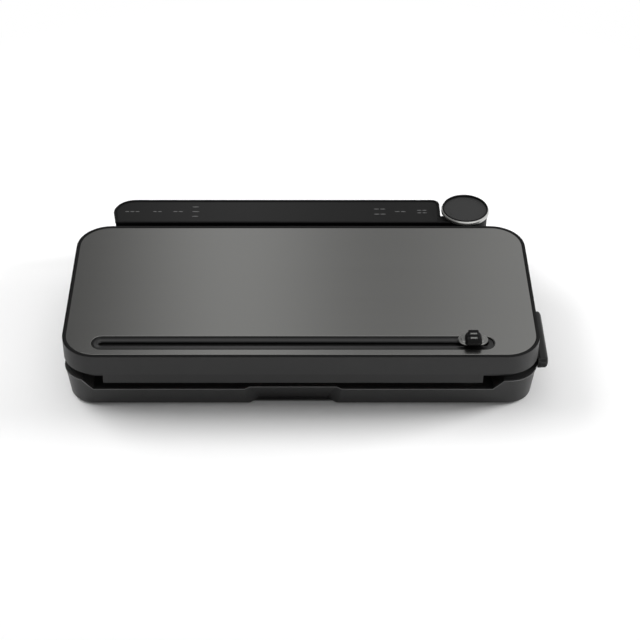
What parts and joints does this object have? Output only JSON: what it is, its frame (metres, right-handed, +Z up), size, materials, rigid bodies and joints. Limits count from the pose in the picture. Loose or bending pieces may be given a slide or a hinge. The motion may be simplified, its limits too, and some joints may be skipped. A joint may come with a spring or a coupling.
{
  "type": "vacuum sealer",
  "caption": "Counter-top vacuum sealer: hinged steel-topped lid with a sliding bag cutter, side latch, rear control strip and a docked hand-held suction head.",
  "frame": {"origin": "middle of the bounding box, on the surface the feet stand on", "axes": "+X to the right along the length, with the lever on that side; +Y to the back, towards the control strip; +Z up"},
  "size_m": [0.4044, 0.2226, 0.0666],
  "materials": {
    "case_dark": "fine-grained dark charcoal moulding",
    "deck_dark": "satin dark moulding",
    "gloss_black": "smooth dark touch overlay",
    "brushed_lid": "dark stainless, brushed from side to side",
    "cutter_steel": "satin oval cap",
    "blade_steel": "ground blade",
    "bright_ring": "bright bevel ring",
    "cap_black": "matt dark disc",
    "grip_black": "black moulding",
    "track_black": "dark track insert",
    "lever_dark": "grey side lever",
    "button_grey": "grey push button",
    "soft_rubber": "soft black rubber and foam",
    "strip_silicone": "red silicone strip",
    "seal_cloth": "brown non-stick glass cloth",
    "bar_aluminium": "plain bar",
    "tray_grey": "grey tray",
    "zinc_steel": "zinc-plated steel",
    "frame_steel": "pressed steel",
    "motor_steel": "plated motor can",
    "pump_plastic": "moulded pump parts",
    "bearing_plastic": "natural low-friction plastic",
    "tube_silicone": "grey flexible tube",
    "circuit_green": "circuit board and parts",
    "winding_yellow": "wrapped core",
    "light_pipe": "clear light pipe",
    "inlet_black": "black moulding"
  },
  "bodies": {
    "base": {"base_tub": "case_dark", "base_deck": "deck_dark", "rubber_feet": "soft_rubber", "case_screws": "zinc_steel", "rear_housing": "case_dark", "control_overlay": "gloss_black", "status_lights": "light_pipe", "control_board": "circuit_green", "power_board": "circuit_green", "transformer": "winding_yellow", "power_inlet": "inlet_black", "lower_gasket": "soft_rubber", "drip_tray": "tray_grey", "seal_bar": "bar_aluminium", "heating_strip": "bar_aluminium", "seal_tape": "seal_cloth", "pump_frame": "frame_steel", "pump_motor": "motor_steel", "pump_head": "pump_plastic", "pump_mounts": "soft_rubber", "release_valve": "pump_plastic", "vacuum_tube": "tube_silicone", "hand_hose": "tube_silicone", "hinge_brackets": "frame_steel", "shaft_bearings": "bearing_plastic", "lid_switch": "inlet_black"},
    "lid": {"lid_cover": "case_dark", "lid_panel": "brushed_lid", "lid_inner": "deck_dark", "lid_screws": "zinc_steel", "upper_gasket": "soft_rubber", "pressure_strip": "strip_silicone", "hinge_pins": "zinc_steel", "lid_catches": "frame_steel", "cutter_track": "track_black"},
    "cutter": {"cutter_plate": "cutter_steel", "cutter_grip": "grip_black", "cutter_carriage": "bearing_plastic", "cutter_blade": "blade_steel"},
    "latch": {"latch_shaft": "zinc_steel", "latch_lever": "lever_dark", "latch_hooks": "zinc_steel"},
    "hand_head": {"head_barrel": "case_dark", "head_cap": "grip_black", "cap_ring": "bright_ring", "cap_disc": "cap_black", "head_nozzle": "lever_dark", "nozzle_seal": "soft_rubber"},
    "button": {"head_button": "button_grey"},
    "crank": {"pump_crank": "zinc_steel"},
    "rod": {"pump_rod": "pump_plastic"},
    "plunger": {"valve_plunger": "zinc_steel"}
  },
  "joints": [
    {"name": "lid_hinge", "type": "hinge", "parent": "base", "child": "lid", "pos_m": [-0.00415, 0.0547, 0.0485], "axis": [-1, 0, 0], "range_deg": [0, 60]},
    {"name": "cutter_slide", "type": "slide", "parent": "lid", "child": "cutter", "axis": [-1, 0, 0], "range_m": [0, 0.2964]},
    {"name": "latch_pivot", "type": "hinge", "parent": "base", "child": "latch", "pos_m": [0.19585, -0.0358, 0.0325], "axis": [1, 0, 0], "range_deg": [0, 22]},
    {"name": "head_lift", "type": "slide", "parent": "base", "child": "hand_head", "axis": [0, 0, 1], "range_m": [0, 0.06]},
    {"name": "head_press", "type": "slide", "parent": "hand_head", "child": "button", "axis": [0, 1, 0], "range_m": [0, 0.001], "stiffness_N_per_m": 300, "springref_m": -0.0005},
    {"name": "crank_spin", "type": "hinge", "parent": "base", "child": "crank", "pos_m": [-0.05515, 0.0924, 0.0209], "axis": [1, 0, 0], "continuous": true},
    {"name": "rod_turn", "type": "hinge", "parent": "crank", "child": "rod", "pos_m": [-0.05515, 0.0924, 0.0234], "axis": [1, 0, 0], "continuous": true},
    {"name": "plunger_slide", "type": "slide", "parent": "base", "child": "plunger", "axis": [0, 0, -1], "range_m": [0, 0.0018], "stiffness_N_per_m": 100, "springref_m": -0.001}
  ],
  "couplings": [
    {"joint": "rod_turn", "follows": "crank_spin", "ratio": -1}
  ]
}
